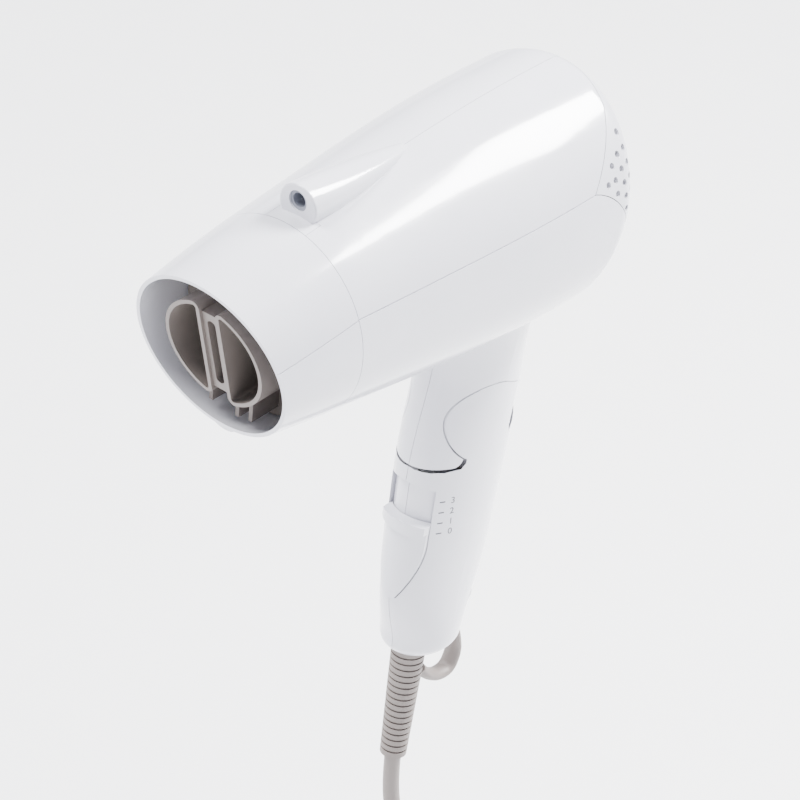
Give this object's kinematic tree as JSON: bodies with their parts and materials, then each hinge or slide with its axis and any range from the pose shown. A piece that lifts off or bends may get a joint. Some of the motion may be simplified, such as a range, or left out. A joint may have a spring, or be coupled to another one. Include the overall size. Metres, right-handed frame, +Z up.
{
  "type": "hair dryer",
  "caption": "Folding hand-held hair dryer: cone barrel, hood around a split nozzle, rear intake grille, slide switch on the grip, hanging loop and corded plug.",
  "frame": {"origin": "middle of the grip, on the handle's centre line", "axes": "-Y is where the air leaves the nozzle, +Z runs up from the handle to the barrel, +X is the side with the switch marks"},
  "size_m": [0.0885, 0.1929, 0.5836],
  "materials": {
    "white_shell": "glossy white moulded shell",
    "white_grille": "glossy white perforated cap",
    "grey_trim": "warm grey moulding, fine satin",
    "grey_rubber": "soft warm grey flexible moulding",
    "cord_jacket": "warm grey vinyl jacket",
    "black_plastic": "black glass-filled moulding",
    "duct_plastic": "dark heat-resistant moulding",
    "mica": "pressed mica board",
    "heater_wire": "resistance wire, dull",
    "steel": "zinc-plated steel",
    "copper": "bare copper",
    "bronze": "sintered bronze",
    "ferrite": "dark ferrite",
    "board": "printed circuit board",
    "filter_mesh": "fine woven mesh",
    "brass_blade": "plain brass"
  },
  "bodies": {
    "handle": {"handle_shell_left": "white_shell", "handle_shell_right": "white_shell", "handle_screws": "steel", "hinge_pin": "steel", "hinge_washers": "black_plastic", "switch_body": "black_plastic", "switch_terminals": "brass_blade", "cord_clamp": "black_plastic", "cord_guard": "grey_rubber", "hang_loop": "grey_rubber", "cord_lead": "cord_jacket", "cord_tube": "cord_jacket", "cord_hank": "cord_jacket", "cord_tie": "black_plastic", "cord_tail": "cord_jacket", "plug_body": "cord_jacket", "plug_blades": "brass_blade"},
    "head": {"barrel_shell_left": "white_shell", "barrel_shell_right": "white_shell", "rear_grille": "white_grille", "intake_filter": "filter_mesh", "front_hood": "white_shell", "inner_nozzle": "grey_trim", "ion_outlet_cover": "white_shell", "ion_tube": "grey_trim", "ion_needle": "steel", "ion_module": "black_plastic", "heater_coils": "heater_wire", "mica_cross": "mica", "mica_sleeve": "mica", "thermostat": "steel", "thermal_fuse": "steel", "fan_housing": "duct_plastic", "motor_can": "steel", "motor_magnets": "ferrite", "motor_end_cap": "black_plastic", "motor_bushes": "bronze", "rectifier_board": "board", "neck_screw": "steel"},
    "rotor": {"motor_shaft": "steel", "armature": "copper", "commutator": "copper", "impeller": "duct_plastic"},
    "switch": {"switch_knob": "white_shell", "switch_carriage": "black_plastic"}
  },
  "joints": [
    {"name": "handle_fold", "type": "hinge", "parent": "handle", "child": "head", "pos_m": [0, 0.0017, 0.0483], "axis": [1, 0, 0], "range_deg": [0, 90]},
    {"name": "switch_slide", "type": "slide", "parent": "handle", "child": "switch", "axis": [0, 0.0778, 0.997], "range_m": [0, 0.014]},
    {"name": "fan_spin", "type": "hinge", "parent": "head", "child": "rotor", "pos_m": [0, 0, 0.135], "axis": [0, 1, 0], "continuous": true}
  ]
}
